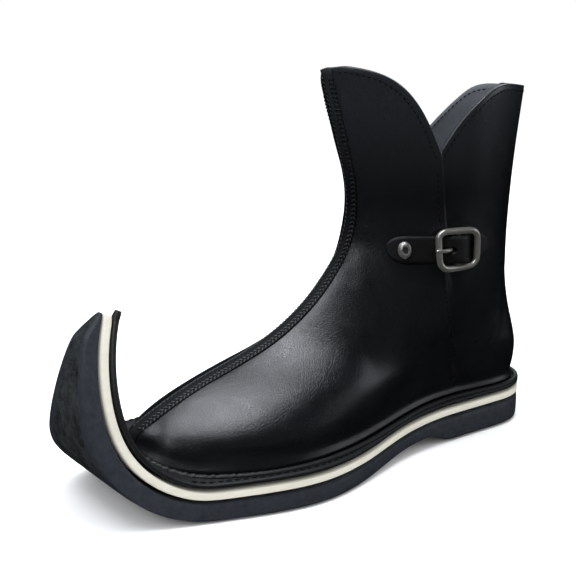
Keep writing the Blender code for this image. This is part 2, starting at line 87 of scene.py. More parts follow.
def make_piece(name, shape, materials, skin=0):
    """Turns a bmesh into a piece of the boot, with a subdivided skin where it has one."""
    mesh = bpy.data.meshes.new(name)
    shape.to_mesh(mesh)
    shape.free()
    for layer in ("custom_normal", "sharp_edge", "sharp_face"):
        if layer in mesh.attributes:
            mesh.attributes.remove(mesh.attributes[layer])
    mesh.polygons.foreach_set("use_smooth", [True] * len(mesh.polygons))
    for material in materials:
        mesh.materials.append(material)
    piece = bpy.data.objects.new(name, mesh)
    bpy.context.scene.collection.objects.link(piece)
    if skin:
        layers = piece.modifiers.new("skin", "SUBSURF")
        layers.levels = skin
        layers.render_levels = skin
    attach(piece, "root")
    return piece


def linear(colour):
    """A hex sRGB colour as linear red, green, blue and alpha."""
    parts = [int(colour[i:i + 2], 16) / 255 for i in (1, 3, 5)]
    return [p / 12.92 if p <= 0.04045 else ((p + 0.055) / 1.055) ** 2.4 for p in parts] + [1.0]


def finish(name, colour, roughness, **sockets):
    """A new material with its mean colour, and its shader."""
    material = bpy.data.materials.new(name)
    material.use_nodes = True
    shader = material.node_tree.nodes["Principled BSDF"]
    shader.inputs["Base Color"].default_value = linear(colour)
    shader.inputs["Roughness"].default_value = roughness
    for socket, value in sockets.items():
        shader.inputs[socket.replace("_", " ")].default_value = value
    return material, shader


def add(material, kind, settings, links=None):
    """Adds a node with its settings and links."""
    made = material.node_tree.nodes.new(kind)
    for name, value in settings.items():
        if isinstance(name, int) or name in made.inputs:
            made.inputs[name].default_value = value
        else:
            setattr(made, name, value)
    for name, source in (links or {}).items():
        material.node_tree.links.new(source, made.inputs[name])
    return made


def link(material, output, socket):
    """Joins an output to a socket of the shader."""
    material.node_tree.links.new(output, socket)


# Smooth moulded rubber: bluish black and matte, with the faint cloudiness of a wiped sole edge. The grit is
# about 0.3 mm on a real sole and is drawn coarser, so that it shows.
rubber, shader = finish("moulded rubber", "#1c1e22", roughness=0.55, Specular_IOR_Level=0.2)
place = add(rubber, "ShaderNodeTexCoord", {}).outputs["Object"]
cloud = add(
    rubber, "ShaderNodeTexNoise",
    {"Scale": 1 / (RUBBER_CLOUD * MM), "Detail": 6.0, "Roughness": 0.7}, {"Vector": place},
)
grit = add(
    rubber, "ShaderNodeTexNoise",
    {"Scale": 1 / (RUBBER_GRIT * MM), "Detail": 3.0}, {"Vector": place},
)
shade = add(
    rubber, "ShaderNodeMixRGB",
    {"Color1": linear("#0e1013"), "Color2": linear("#31353d")}, {"Fac": cloud.outputs["Fac"]},
)
bump = add(
    rubber, "ShaderNodeBump",
    {"Strength": 0.5, "Distance": 0.3 * MM}, {"Height": grit.outputs["Fac"]},
)
link(rubber, shade.outputs["Color"], shader.inputs["Base Color"])
link(rubber, bump.outputs["Normal"], shader.inputs["Normal"])

# Pebbled rubber tread: low round grains about 2 mm across that the mould leaves. It is rougher than the
# side, and blotchy, black where it is worn and greyer where it is dusty.
tread, shader = finish("pebbled rubber tread", "#25292a", roughness=0.7, Specular_IOR_Level=0.2)
place = add(tread, "ShaderNodeTexCoord", {}).outputs["Object"]
pebble = add(
    tread, "ShaderNodeTexVoronoi",
    {"feature": "SMOOTH_F1", "Scale": 1 / (PEBBLE * MM), "Smoothness": 0.6}, {"Vector": place},
)
cloud = add(
    tread, "ShaderNodeTexNoise",
    {"Scale": 1 / (TREAD_CLOUD * MM), "Detail": 6.0, "Roughness": 0.7}, {"Vector": place},
)
dusty = add(
    tread, "ShaderNodeMapRange",
    {"From Min": 0.3, "From Max": 0.7}, {"Value": cloud.outputs["Fac"]},
)
height = add(
    tread, "ShaderNodeMath",
    {"operation": "MULTIPLY_ADD", 1: -1.0}, {0: pebble.outputs["Distance"], 2: cloud.outputs["Fac"]},
)
shade = add(
    tread, "ShaderNodeMixRGB",
    {"Color1": linear("#0a0c0d"), "Color2": linear("#2a2e2f")}, {"Fac": dusty.outputs["Result"]},
)
bump = add(
    tread, "ShaderNodeBump",
    {"Strength": 0.9, "Distance": 0.6 * MM}, {"Height": height.outputs["Value"]},
)
link(tread, shade.outputs["Color"], shader.inputs["Base Color"])
link(tread, bump.outputs["Normal"], shader.inputs["Normal"])

shape = copy_of("outsole")
shape.normal_update()
for face in shape.faces:
    level = abs(face.normal.y) < SIDE_TURN
    heel_wall = face.calc_center_median().x > HEEL_WALL_X * MM and abs(face.normal.z) < HEEL_WALL_TURN
    face.material_index = 1 if level and not heel_wall else 0
outsole = make_piece("outsole_rubber", shape, (rubber, tread), skin=2)
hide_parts("outsole")


# Midsole
# A light cream rubber sheet glued on the outsole and trimmed to the same outline, seen as the white stripe
# all round the sole and up the curl. Its cut edge keeps faint lengthwise streaks from the trimming wheel.
STREAK = 2.2
STREAK_DRAWN = (0.12, 0.5, 1.0)
CREAM_CLOUD = 30.0

# Cream rubber sheet: a warm matte off-white with long faint streaks where the cut edge holds dust. Real
# wheel marks are about 0.5 mm apart and are drawn coarser, so that they show.
cream, shader = finish("cream rubber sheet", "#c6c3b6", roughness=0.6, Specular_IOR_Level=0.3)
place = add(cream, "ShaderNodeTexCoord", {}).outputs["Object"]
drawn = add(cream, "ShaderNodeMapping", {"Scale": STREAK_DRAWN}, {"Vector": place})
streak = add(
    cream, "ShaderNodeTexNoise",
    {"Scale": 1 / (STREAK * MM), "Detail": 3.0}, {"Vector": drawn.outputs["Vector"]},
)
cloud = add(
    cream, "ShaderNodeTexNoise",
    {"Scale": 1 / (CREAM_CLOUD * MM), "Detail": 4.0}, {"Vector": place},
)
amount = add(
    cream, "ShaderNodeMath", {"operation": "MULTIPLY"}, {0: streak.outputs["Fac"], 1: cloud.outputs["Fac"]}
)
shade = add(
    cream, "ShaderNodeMixRGB",
    {"Color1": linear("#c6c3b6"), "Color2": linear("#a09c8d")}, {"Fac": amount.outputs["Value"]},
)
bump = add(
    cream, "ShaderNodeBump",
    {"Strength": 0.2, "Distance": 0.2 * MM}, {"Height": streak.outputs["Fac"]},
)
link(cream, shade.outputs["Color"], shader.inputs["Base Color"])
link(cream, bump.outputs["Normal"], shader.inputs["Normal"])

midsole = make_piece("midsole_sheet", copy_of("midsole"), (cream,), skin=2)
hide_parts("midsole")


# Welt
# A black leather layer over the midsole, wider than the upper, which is stitched down on it. It goes on up
# the inside of the curl as a lining and ends in a small round tab over the tip.
GRAIN = 1.3
WRINKLE = 7.0
LEATHER_CLOUD = 28.0
PORE_WALL = 0.12
PORE_WEIGHT = 3.0
PAINTED_SHEEN_FROM = 150.0
PAINTED_SHEEN_FULL = 200.0
DULLER = 0.09
SHINIER = 0.07


def black_leather(name, dark, light, roughness, grain_depth, gleam=0.5):
    """Smooth dyed leather: fine pores, soft wrinkles and a wandering sheen, with a painted sheen that makes
    it paler towards the collar.

    Real pores are about 0.3 mm apart and are drawn coarser, so that they show.
    """
    material, shader = finish(name, dark, roughness, Specular_IOR_Level=gleam)
    place = add(material, "ShaderNodeTexCoord", {}).outputs["Object"]
    pores = add(
        material, "ShaderNodeTexVoronoi",
        {"feature": "DISTANCE_TO_EDGE", "Scale": 1 / (GRAIN * MM)}, {"Vector": place},
    )
    folds = add(
        material, "ShaderNodeTexNoise",
        {"Scale": 1 / (WRINKLE * MM), "Detail": 5.0}, {"Vector": place},
    )
    cloud = add(
        material, "ShaderNodeTexNoise",
        {"Scale": 1 / (LEATHER_CLOUD * MM), "Detail": 3.0}, {"Vector": place},
    )
    flat_pores = add(
        material, "ShaderNodeMath", {"operation": "MINIMUM", 1: PORE_WALL}, {0: pores.outputs["Distance"]}
    )
    height = add(
        material, "ShaderNodeMath", {"operation": "MULTIPLY_ADD", 1: PORE_WEIGHT},
        {0: flat_pores.outputs["Value"], 2: folds.outputs["Fac"]},
    )
    bump = add(
        material, "ShaderNodeBump",
        {"Strength": 0.35, "Distance": grain_depth * MM}, {"Height": height.outputs["Value"]},
    )
    dyed = add(
        material, "ShaderNodeMixRGB",
        {"Color1": linear(dark), "Color2": linear(light)}, {"Fac": cloud.outputs["Fac"]},
    )
    # Painted sheen: the colour is mixed paler from 150 to 200 mm up, towards the collar
    up = add(material, "ShaderNodeSeparateXYZ", {}, {"Vector": place}).outputs["Z"]
    painted_sheen = add(
        material, "ShaderNodeMapRange",
        {"From Min": PAINTED_SHEEN_FROM * MM, "From Max": PAINTED_SHEEN_FULL * MM, "To Max": 0.55}, {"Value": up},
    )
    shade = add(
        material, "ShaderNodeMixRGB", {"Color2": linear("#1e2226")},
        {"Fac": painted_sheen.outputs["Result"], "Color1": dyed.outputs["Color"]},
    )
    gloss = add(
        material, "ShaderNodeMapRange",
        {"To Min": roughness - SHINIER, "To Max": roughness + DULLER}, {"Value": folds.outputs["Fac"]},
    )
    link(material, shade.outputs["Color"], shader.inputs["Base Color"])
    link(material, gloss.outputs["Result"], shader.inputs["Roughness"])
    link(material, bump.outputs["Normal"], shader.inputs["Normal"])
    return material


# Edge-dyed welt leather: thick hide with dye wiped over its cut edge, a dull black that greys in the light
edge_leather = black_leather("edge-dyed welt leather", "#08090a", "#121416", roughness=0.46, grain_depth=0.8)
welt = make_piece("welt_leather", copy_of("welt"), (edge_leather,), skin=2)
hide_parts("welt")


# Insole
# A thin board of undyed leather under the foot, cut to the shape of the last. It lies on the welt inside
# the upper and is glued there.
BOARD_CLOUD = 14.0

# Undyed leather board: a plain dull brown, mottled as pressed fibres are
board, shader = finish("undyed leather board", "#5c4632", roughness=0.75, Specular_IOR_Level=0.25)
place = add(board, "ShaderNodeTexCoord", {}).outputs["Object"]
cloud = add(
    board, "ShaderNodeTexNoise",
    {"Scale": 1 / (BOARD_CLOUD * MM), "Detail": 6.0}, {"Vector": place},
)
shade = add(
    board, "ShaderNodeMixRGB",
    {"Color1": linear("#4a3826"), "Color2": linear("#6e553d")}, {"Fac": cloud.outputs["Fac"]},
)
bump = add(
    board, "ShaderNodeBump",
    {"Strength": 0.3, "Distance": 0.3 * MM}, {"Height": cloud.outputs["Fac"]},
)
link(board, shade.outputs["Color"], shader.inputs["Base Color"])
link(board, bump.outputs["Normal"], shader.inputs["Normal"])

insole = make_piece("insole_board", copy_of("insole"), (board,))
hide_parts("insole")


# Upper
# Two panels of smooth black calf leather over the last, lined in grey. The front panel laps over the back
# panel from each notch down to the sole, and the lower edge is turned out and stitched down on the welt.
LAST_MIDDLE = (0.154862, 0.000264)
SHAFT_ALONG = 78.0
SHAFT_FRONT = 105
SHAFT_LOW = 100
FOOT_UP = 42.0
FOOT_FRONT = 200.0
FLARE = 3.6
FLARE_RISE = 3.2
FLARE_LOOK = 4.0
LINING_CLOUD = 12.0
CREASE_FADE = 6.0
HARD_TURN = 0.7
UPPER_CRISP = 0.8
CORNER_NEAR = 1
CORNER_SPAN = 15.8
CORNER_ALONG = 120
CORNER_LOW = 170.0
CORNER_RISE = 41.0
CORNER_LIFT = 7.6
CORNER_LEAN = 0.34
DOWN = Vector((0, 0, -1))
CREASES = (
    # side, from along, from up, to along, to up, half width, depth
    (1, 270, 31, 263, 45, 4.0, 1.8),
    (-1, 268, 31, 262, 43, 4.0, 1.2),
    (1, 246, 31, 205, 29, 3.2, 0.9),
    (-1, 240, 31, 200, 29, 3.2, 0.8),
    (1, 132, 118, 130, 88, 10.0, 1.5),
    (-1, 134, 116, 128, 88, 9.0, 1.4),
    (1, 137, 124, 140, 104, 3.5, 0.7),
    (1, 130, 160, 100, 142, 14.0, 1.5),
    (-1, 128, 158, 100, 140, 14.0, 1.2),
    (1, 88.5, 110, 78.5, 66, 4.2, 1.4),
    (-1, 88.5, 110, 77, 60, 4.2, 1.0),
    (1, 88, 186, 84, 150, 9.0, 1.0),
    (1, 34, 62, 30, 96, 5.0, 0.6),
    (1, 46, 58, 42, 88, 5.0, 0.5),
    (-1, 36, 62, 32, 92, 6.0, 0.6),
    (1, 140, 60, 84, 56, 12.0, 2.0),
    (-1, 140, 60, 84, 56, 12.0, 1.4),
)
LAP_LINE = (
    # up, along
    (38, 73.2),
    (55, 77.7),
    (70, 82.4),
    (85, 87.4),
    (100, 90.7),
    (115, 91.5),
    (130, 92.2),
    (145, 94.0),
    (160, 97.2),
    (168, 99.2),
)
CUT_NEAR = 1.0
CUT_TURN = 0.55


def spot(along, out, up):
    """A point of the boot in the part's own axes."""
    return Vector((LAST_MIDDLE[0] - along * MM, LAST_MIDDLE[1] - out * MM, up * MM))


def boot_place(point):
    """Along, out and up of a point."""
    return (LAST_MIDDLE[0] - point.x) / MM, (LAST_MIDDLE[1] - point.y) / MM, point.z / MM


def to_core(point):
    """Way from a point of the wall to the middle of the shaft or of the foot."""
    along, _, up = boot_place(point)
    if along < SHAFT_FRONT or up > SHAFT_LOW:
        return spot(SHAFT_ALONG, 0, up) - point
    return spot(min(along, FOOT_FRONT), 0, FOOT_UP) - point


def faces_out(point, normal):
    """True on the outer face of the upper's wall."""
    return normal.dot(to_core(point)) < 0


def tree_of(mesh):
    """A mesh as a tree that straight lines can be cast on."""
    return BVHTree.FromPolygons([v.co for v in mesh.vertices], [p.vertices for p in mesh.polygons])


def keep_crisp(shape, sharpness):
    """Marks a shape's hard edges, so that its subdivided skin doesn't round them off."""
    crease = shape.edges.layers.float.new("crease_edge")
    for edge in shape.edges:
        if edge.calc_face_angle(0.0) > HARD_TURN:
            edge[crease] = sharpness


def settle(piece):
    """Keeps a piece's subdivided skin as its own mesh."""
    name = piece.data.name
    piece.data = bpy.data.meshes.new_from_object(piece.evaluated_get(bpy.context.evaluated_depsgraph_get()))
    piece.data.name = name
    piece.modifiers.clear()


def lap_along(up):
    """Place of the front panel's lapped edge at a height."""
    for (up_a, along_a), (up_b, along_b) in zip(LAP_LINE, LAP_LINE[1:]):
        if up <= up_b:
            return along_a + (along_b - along_a) * (up - up_a) / (up_b - up_a)
    return LAP_LINE[-1][1]


def crease_depth(along, out, up):
    """How deep the listed troughs are at a place."""
    depth = 0.0
    for side, along_a, up_a, along_b, up_b, half, deep in CREASES:
        if out * side <= 0:
            continue
        run = Vector((along_b - along_a, up_b - up_a))
        share = Vector((along - along_a, up - up_a)).dot(run) / run.length_squared
        share = min(max(share, 0.0), 1.0)
        away = math.hypot(along - along_a - share * run.x, up - up_a - share * run.y)
        depth += deep * math.exp(-(away / half) ** 2)
    return depth * min(abs(out) / CREASE_FADE, 1.0)


# Smooth black calf leather: deep black with a polished sheen that gathers into broad soft highlights
calf = black_leather("smooth black calf leather", "#050607", "#0c0e11", roughness=0.3, grain_depth=0.25)

# Dyed cut edge: raw leather darkened with dye, which takes no sheen and reads as a thin black line
cut_edge = black_leather("dyed cut edge", "#020203", "#040405", roughness=0.75, grain_depth=0.3)

# Grey lining leather: unpolished, a soft mid grey that is a little cloudy
lining, shader = finish("grey lining leather", "#4a4d52", roughness=0.6, Specular_IOR_Level=0.3)
place = add(lining, "ShaderNodeTexCoord", {}).outputs["Object"]
cloud = add(
    lining, "ShaderNodeTexNoise",
    {"Scale": 1 / (LINING_CLOUD * MM), "Detail": 6.0}, {"Vector": place},
)
shade = add(
    lining, "ShaderNodeMixRGB",
    {"Color1": linear("#3d4045"), "Color2": linear("#5a5d62")}, {"Fac": cloud.outputs["Fac"]},
)
bump = add(
    lining, "ShaderNodeBump",
    {"Strength": 0.25, "Distance": 0.4 * MM}, {"Height": cloud.outputs["Fac"]},
)
link(lining, shade.outputs["Color"], shader.inputs["Base Color"])
link(lining, bump.outputs["Normal"], shader.inputs["Normal"])

# The collar's outer front corner is raised to the height of the inner one
welt_tree = tree_of(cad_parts["welt"].data)
shape = copy_of("upper")
for vertex in shape.verts:
    along, out, up = boot_place(vertex.co)
    if -CORNER_SPAN < out < -CORNER_NEAR and along > CORNER_ALONG and up > CORNER_LOW:
        lift = CORNER_LIFT * (1 + out / CORNER_SPAN) * min((up - CORNER_LOW) / CORNER_RISE, 1.0)
        vertex.co = spot(along + lift * CORNER_LEAN, out, up + lift)
shape.normal_update()
keep_crisp(shape, UPPER_CRISP)
for face in shape.faces:
    middle = face.calc_center_median()
    along, _, up = boot_place(middle)
    face.material_index = 0 if faces_out(middle, face.normal) else 1
    if abs(along - lap_along(up)) < CUT_NEAR and face.normal.x > CUT_TURN:
        face.material_index = 2
upper = make_piece("upper_leather", shape, (calf, lining, cut_edge), skin=2)
settle(upper)

# The creases are pressed into the wall, and its outer face flares out where it meets the welt
normals = [vertex.normal.copy() for vertex in upper.data.vertices]
for vertex, normal in zip(upper.data.vertices, normals):
    outside = faces_out(vertex.co, normal)
    moved = vertex.co + to_core(vertex.co).normalized() * crease_depth(*boot_place(vertex.co)) * MM
    if not outside:
        vertex.co = moved
        continue
    under = welt_tree.ray_cast(vertex.co + Vector((0, 0, FLARE_LOOK * MM)), DOWN)[0]
    if under is not None:
        rise = (vertex.co.z - under.z) / MM
        level_out = Vector((normal.x, normal.y, 0.0)).normalized()
        moved += level_out * FLARE * math.exp(-(rise / FLARE_RISE) ** 2) * MM
    vertex.co = moved
upper_tree = tree_of(upper.data)
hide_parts("upper")


# Seam strips
# Narrow strips of thin leather glued over the seams in front and behind. Each is sewn along both edges, in
# front with slanting stitches that lie side by side like a braid.
FRONT_PIVOT = (292.0, 185.0)
FRONT_SWEEP = (168.5, 261.5)
FRONT_STEPS = 220
FRONT_ROWS = (-4.0, -2.5, 2.5, 4.0)
BACK_ROWS = (-4.2, 4.2)
BACK_SWEEP = (34, 203)
BACK_START = -60
EDGE_RISE = 0.77
FLUSH = 0.12
SWELL = 1.2
ROOT_SINK = 0.4
STRIP_CRISP = 1.0
STRIP_TOP = 212
STRIP_SLOPE = 0.2
STRIP_STEP = 3.0
TWIST = 0.5
BRAID_LIT_BELOW = 75.0
BRAID_SHADED_ABOVE = 135.0
SUNK = 0.05
ROW_STEP = 2

# Pitch, length and thickness of a stitch
BRAID_STITCH = (2.5, 2.5, 1.1)
BRAID_SLANT = 42
BACK_STITCH = (3.0, 2.2, 0.8)


def cast(tree, start, toward):
    """First point and outward direction that a straight line meets."""
    point, normal, _, _ = tree.ray_cast(start, toward.normalized())
    return None if point is None else (point, normal)


def sew(shape, line, stitch, slant=0.0):
    """Adds a row of stitches along a line of points and outward directions."""
    pitch, length, thick = stitch
    line = [found for found in line if found]
    row = bmesh.new()
    gone = -pitch / 2 * MM
    for (here, normal), (there, _) in zip(line, line[1:]):
        run = (there - here).length
        if run == 0.0:
            continue
        forward = (there - here) / run
        gone += run
        while gone >= 0.0:
            middle = there - forward * gone
            ahead = Matrix.Rotation(math.radians(slant), 3, normal) @ forward
            across = normal.cross(ahead).normalized()
            columns = (across * thick / 2, normal * thick / 2, ahead * length / 2)
            turn = Matrix([c * MM for c in columns]).transposed().to_4x4()
            seat = Matrix.Translation(middle + normal * thick * SUNK * MM)
            bmesh.ops.create_uvsphere(row, u_segments=6, v_segments=5, radius=1.0, matrix=seat @ turn)
            gone -= pitch * MM
    sewn = bpy.data.meshes.new("row")
    row.to_mesh(sewn)
    row.free()
    shape.from_mesh(sewn)
    bpy.data.meshes.remove(sewn)


# Skived strip leather: pared thin and left unpolished, a dull black with hardly any sheen
strip_leather = black_leather(
    "skived strip leather", "#030304", "#070809", roughness=0.6, grain_depth=0.3, gleam=0.2
)

# Each strip is laid on the upper's wall. Its end is carried straight on past the collar's rounded rim.
solid_tree = tree_of(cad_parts["upper"].data)
strip_trees = {}
for node in ("front_strip", "back_strip"):
    shape = copy_of(node)
    for vertex in shape.verts:
        along, out, up = boot_place(vertex.co)
        step = Vector()
        drop = Vector()
        if up > STRIP_TOP:
            lean = Vector((-CORNER_LEAN, 0.0, 1.0))
            step = lean * STRIP_STEP * MM
            drop = lean * STRIP_SLOPE * min(out, 0.0) * MM
            out = abs(out)
        height = solid_tree.find_nearest(spot(along, out, up))[3]
        seat, normal, _, _ = upper_tree.find_nearest(vertex.co + drop - step)
        rise = FLUSH + max(height / MM - EDGE_RISE, 0.0) * SWELL
        vertex.co = seat + step + normal * (rise if height > EDGE_RISE * MM / 2 else -ROOT_SINK) * MM
    keep_crisp(shape, STRIP_CRISP)
    strip = make_piece(node + "_leather", shape, (strip_leather,), skin=2)
    settle(strip)
    strip_trees[node] = tree_of(strip.data)
    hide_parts(node)

# Glossy braid thread: a dark grey that catches the light stitch by stitch, with painted light in its colour:
# paler low on the vamp where the lamps fall, and painted dark as shade up the shaft.
# The real twist is about 0.3 mm and is drawn coarser, so that it shows.
braid_thread, shader = finish("glossy braid thread", "#26292c", roughness=0.36, Specular_IOR_Level=0.6)
place = add(braid_thread, "ShaderNodeTexCoord", {}).outputs["Object"]
twist = add(
    braid_thread, "ShaderNodeTexNoise",
    {"Scale": 1 / (TWIST * MM), "Detail": 2.0}, {"Vector": place},
)
bump = add(
    braid_thread, "ShaderNodeBump",
    {"Strength": 0.3, "Distance": 0.1 * MM}, {"Height": twist.outputs["Fac"]},
)
height = add(braid_thread, "ShaderNodeSeparateXYZ", {}, {"Vector": place}).outputs["Z"]
# Painted light and shade: the thread is paler below 75 mm up and darkens to 135 mm up the shaft
braid_shading = add(
    braid_thread, "ShaderNodeMapRange",
    {"From Min": BRAID_LIT_BELOW * MM, "From Max": BRAID_SHADED_ABOVE * MM}, {"Value": height},
)
shade = add(
    braid_thread, "ShaderNodeMixRGB",
    {"Color1": linear("#282b2e"), "Color2": linear("#08090a")}, {"Fac": braid_shading.outputs["Result"]},
)
link(braid_thread, shade.outputs["Color"], shader.inputs["Base Color"])
link(braid_thread, bump.outputs["Normal"], shader.inputs["Normal"])

braid = bmesh.new()
for row, out in enumerate(FRONT_ROWS):
    line = []
    for step in range(FRONT_STEPS + 1):
        angle = math.radians(FRONT_SWEEP[0] + (FRONT_SWEEP[1] - FRONT_SWEEP[0]) * step / FRONT_STEPS)
        toward = Vector((-math.cos(angle), 0.0, math.sin(angle)))
        line.append(cast(strip_trees["front_strip"], spot(FRONT_PIVOT[0], out, FRONT_PIVOT[1]), toward))
    sew(braid, line, BRAID_STITCH, BRAID_SLANT if row % 2 else -BRAID_SLANT)
for out in BACK_ROWS:
    line = []
    for up in range(*BACK_SWEEP, ROW_STEP):
        line.append(cast(strip_trees["back_strip"], spot(BACK_START, out, up), Vector((-1, 0, 0))))
    sew(braid, line, BACK_STITCH)
make_piece("strip_stitches", braid, (braid_thread,))


# Collar, lap and welt stitching
# One row of stitches runs just inside the collar's edge and shows on both faces. Another holds the two
# panels together along the lapped edge, and a third holds the turned-out lower edge down on the welt.
EDGE_INSET = 3.4
COLLAR_SPANS = (
    # side, from degrees round the shaft, to degrees
    (1, 6, 57),
    (1, 62, 172),
    (-1, 6, 63),
    (-1, 70, 172),
)
COLLAR_LOW = 126.0
COLLAR_HIGH = 223.0
CAST_FROM = 120
HALVINGS = 14
STEEP_RUN = 1.5
STEEP_MOST = 3.0
LAP_INSET = 3.0
LAP_FOOT = 36
LAP_TOP = {1: 166, -1: 128}
STRAP_GAP = (108, 131)
WELT_INSET = 2.6
WELT_NEAR = 4.0
WELT_FAR = 90.0
WELT_FRONT = 262
WELT_HEEL = 38
WELT_STEP = 3
WELT_TURN = 5
ABOVE = 60.0
INNER_SIDE = 90
OUTER_SIDE = 270
SEAM_STITCH = (3.2, 2.3, 0.75)
WELT_STITCH = (4.4, 3.3, 0.8)

# Waxed black thread: matte and as dark as the leather, so that a row shows by its shadows. Its twist is
# drawn coarser than it is, as the braid's.
thread, shader = finish("waxed black thread", "#060708", roughness=0.6, Specular_IOR_Level=0.25)
place = add(thread, "ShaderNodeTexCoord", {}).outputs["Object"]
twist = add(thread, "ShaderNodeTexNoise", {"Scale": 1 / (TWIST * MM), "Detail": 2.0}, {"Vector": place})
bump = add(
    thread, "ShaderNodeBump",
    {"Strength": 0.3, "Distance": 0.1 * MM}, {"Height": twist.outputs["Fac"]},
)
shade = add(
    thread, "ShaderNodeMixRGB",
    {"Color1": linear("#030404"), "Color2": linear("#090a0c")}, {"Fac": twist.outputs["Fac"]},
)
link(thread, shade.outputs["Color"], shader.inputs["Base Color"])
link(thread, bump.outputs["Normal"], shader.inputs["Normal"])


def collar_edge(side, degrees):
    """Top of the wall in one direction round the shaft."""
    angle = math.radians(degrees)
    outward = Vector((-math.cos(angle), -side * math.sin(angle), 0.0))
    low, high = COLLAR_LOW, COLLAR_HIGH
    for _ in range(HALVINGS):
        middle = (low + high) / 2
        core = spot(SHAFT_ALONG, 0, middle)
        found = cast(upper_tree, core + outward * CAST_FROM * MM, -outward)
        walled = found is not None and (found[0] - core).dot(outward) > 0
        low, high = (middle, high) if walled else (low, middle)
    return outward, low


def welt_edge(start, outward):
    """Place just inside the edge of the welt's upper face, in a level direction from a point."""
    near, far = WELT_NEAR, WELT_FAR
    for _ in range(HALVINGS):
        middle = (near + far) / 2
        found = cast(welt_tree, start + outward * middle * MM, DOWN)
        near, far = (middle, far) if found else (near, middle)
    return cast(welt_tree, start + outward * (near - WELT_INSET) * MM, DOWN)


seams = bmesh.new()
for side, first, last in COLLAR_SPANS:
    tops = [collar_edge(side, degrees) for degrees in range(first, last + 1)]
    line = []
    for i, (outward, top) in enumerate(tops):
        before, after = tops[max(i - 1, 0)][1], tops[min(i + 1, len(tops) - 1)][1]
        steep = min(abs(after - before) / STEEP_RUN, STEEP_MOST)
        height = top - EDGE_INSET * math.hypot(1.0, steep)
        line.append(cast(upper_tree, spot(SHAFT_ALONG, 0, height) + outward * CAST_FROM * MM, -outward))
    sew(seams, line, SEAM_STITCH)
    line = [cast(upper_tree, spot(SHAFT_ALONG, 0, top - EDGE_INSET), outward) for outward, top in tops]
    sew(seams, line, SEAM_STITCH)
for side in (1, -1):
    line = []
    for up in range(LAP_FOOT, LAP_TOP[side], ROW_STEP):
        if STRAP_GAP[0] < up < STRAP_GAP[1]:
            continue
        start = spot(lap_along(up) + LAP_INSET, CAST_FROM * side, up)
        line.append(cast(upper_tree, start, Vector((0, side, 0))))
    sew(seams, line, SEAM_STITCH)

line = []
for along in range(WELT_FRONT, WELT_HEEL, -WELT_STEP):
    line.append(welt_edge(spot(along, 0, ABOVE), Vector((0, -1, 0))))
for degrees in range(INNER_SIDE, OUTER_SIDE + 1, WELT_TURN):
    angle = math.radians(degrees)
    line.append(welt_edge(spot(WELT_HEEL, 0, ABOVE), Vector((-math.cos(angle), -math.sin(angle), 0))))
for along in range(WELT_HEEL, WELT_FRONT, WELT_STEP):
    line.append(welt_edge(spot(along, 0, ABOVE), Vector((0, 1, 0))))
sew(seams, line, WELT_STITCH)
make_piece("seam_stitches", seams, (thread,))


# Rand
# The upper's lower edge, turned out and rolled over a cord on the welt just inside its stitches. It is
# gathered into small pleats round the toe, and tapers off on both sides of the front strip.
RAND_AWAY = 3.6
RAND_FOOT = 3.0
RAND_ABOVE = 12.0
RAND_HALF = 1.7
RAND_HIGH = 1.4
RAND_SINK = 0.3
RAND_FACET = 36
RAND_STEP = 0.7
RAND_TAPER = 7.0
RAND_POINT = 0.05
RAND_PACE = 4
RAND_EASE = 3
TOE_TURN = 235
TOE_GAP = 10
TOE_REACH = 36.0
HEEL_TURN = 40
HEEL_PACE = 6
PLEAT = 3.4
PLEAT_BEAT = 4.9
PLEAT_SHARE = 0.12
PLEAT_BACK = 205.0
PLEAT_RUN = 40.0


def beside_foot(along, degrees, ahead=0.0):
    """A place on the welt beside the upper's foot, in a level direction from the middle plane."""
    angle = math.radians(degrees)
    outward = Vector((-math.cos(angle), -math.sin(angle), 0.0))
    bed = cast(welt_tree, spot(along + ahead * math.cos(angle), 0, ABOVE), DOWN)[0]
    start = Vector((spot(along, 0, 0).x, LAST_MIDDLE[1], bed.z + RAND_FOOT * MM))
    foot = cast(upper_tree, start + outward * CAST_FROM * MM, -outward)
    if foot is None:
        return None
    return cast(welt_tree, foot[0] + outward * RAND_AWAY * MM + Vector((0, 0, RAND_ABOVE * MM)), DOWN)


inner_toe = range(TOE_GAP, INNER_SIDE, RAND_PACE)
round_heel = range(INNER_SIDE, OUTER_SIDE + 1, HEEL_PACE)
outer_toe = range(OUTER_SIDE + RAND_PACE, 361 - TOE_GAP, RAND_PACE)
ring = [beside_foot(TOE_TURN, degrees, TOE_REACH) for degrees in inner_toe]
ring += [beside_foot(along, INNER_SIDE) for along in range(TOE_TURN, HEEL_TURN, -RAND_PACE)]
ring += [beside_foot(HEEL_TURN, degrees) for degrees in round_heel]
ring += [beside_foot(along, OUTER_SIDE) for along in range(HEEL_TURN + RAND_PACE, TOE_TURN + 1, RAND_PACE)]
ring += [beside_foot(TOE_TURN, degrees, TOE_REACH) for degrees in outer_toe]
ring = [found[0] for found in ring if found]
for _ in range(RAND_EASE):
    ring = ring[:1] + [(a + b * 2 + c) / 4 for a, b, c in zip(ring, ring[1:], ring[2:])] + ring[-1:]
fine = []
for here, there in zip(ring, ring[1:]):
    count = max(round((there - here).length / MM / RAND_STEP), 1)
    fine += [here.lerp(there, i / count) for i in range(count)]
shape = bmesh.new()
before = None
